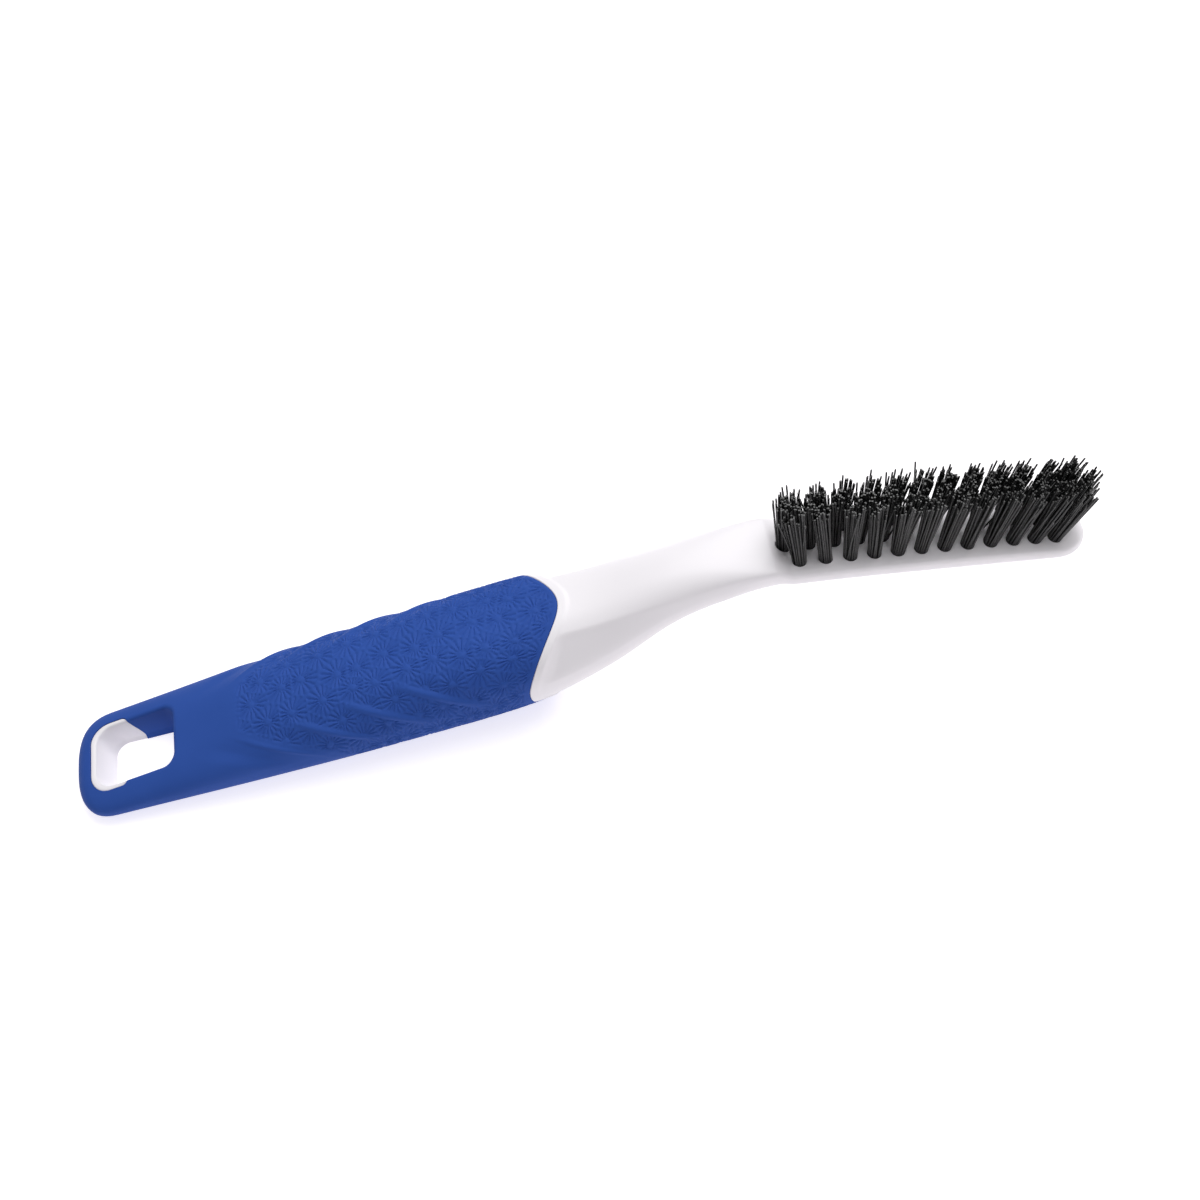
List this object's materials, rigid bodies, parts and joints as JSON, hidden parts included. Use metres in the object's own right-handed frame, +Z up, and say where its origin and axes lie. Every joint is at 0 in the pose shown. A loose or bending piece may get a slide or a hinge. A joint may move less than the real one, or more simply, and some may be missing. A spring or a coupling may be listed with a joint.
{
  "type": "grout brush",
  "caption": "Long-handled grout brush with a white moulded core and neck, a blue overmoulded grip with a hanging hole, and a narrow head of stiff black nylon tufts.",
  "frame": {"origin": "middle of the bounding box of the whole brush, on the surface that it lies on with its bristles up", "axes": "+X along the handle towards the head, +Y across the handle, +Z up from the handle's back towards the bristles"},
  "size_m": [0.2246, 0.0278, 0.0355],
  "materials": {
    "core_plastic": "polished white polypropylene",
    "grip_rubber": "satin royal blue thermoplastic elastomer with a moulded starburst texture",
    "bristle_nylon": "stiff black nylon filament, cut square",
    "anchor_wire": "flat drawn wire"
  },
  "bodies": {
    "root": {"handle_core": "core_plastic", "grip_sleeve": "grip_rubber", "bristles_near": "bristle_nylon", "bristles_middle": "bristle_nylon", "bristles_far": "bristle_nylon", "tuft_anchor_01": "anchor_wire", "tuft_anchor_02": "anchor_wire", "tuft_anchor_03": "anchor_wire", "tuft_anchor_04": "anchor_wire", "tuft_anchor_05": "anchor_wire", "tuft_anchor_06": "anchor_wire", "tuft_anchor_07": "anchor_wire", "tuft_anchor_08": "anchor_wire", "tuft_anchor_09": "anchor_wire", "tuft_anchor_10": "anchor_wire", "tuft_anchor_11": "anchor_wire", "tuft_anchor_12": "anchor_wire", "tuft_anchor_13": "anchor_wire", "tuft_anchor_14": "anchor_wire", "tuft_anchor_15": "anchor_wire", "tuft_anchor_16": "anchor_wire", "tuft_anchor_17": "anchor_wire", "tuft_anchor_18": "anchor_wire", "tuft_anchor_19": "anchor_wire", "tuft_anchor_20": "anchor_wire", "tuft_anchor_21": "anchor_wire", "tuft_anchor_22": "anchor_wire", "tuft_anchor_23": "anchor_wire", "tuft_anchor_24": "anchor_wire", "tuft_anchor_25": "anchor_wire", "tuft_anchor_26": "anchor_wire", "tuft_anchor_27": "anchor_wire", "tuft_anchor_28": "anchor_wire", "tuft_anchor_29": "anchor_wire", "tuft_anchor_30": "anchor_wire", "tuft_anchor_31": "anchor_wire", "tuft_anchor_32": "anchor_wire", "tuft_anchor_33": "anchor_wire", "tuft_anchor_34": "anchor_wire", "tuft_anchor_35": "anchor_wire", "tuft_anchor_36": "anchor_wire", "tuft_anchor_37": "anchor_wire"}
  },
  "joints": []
}
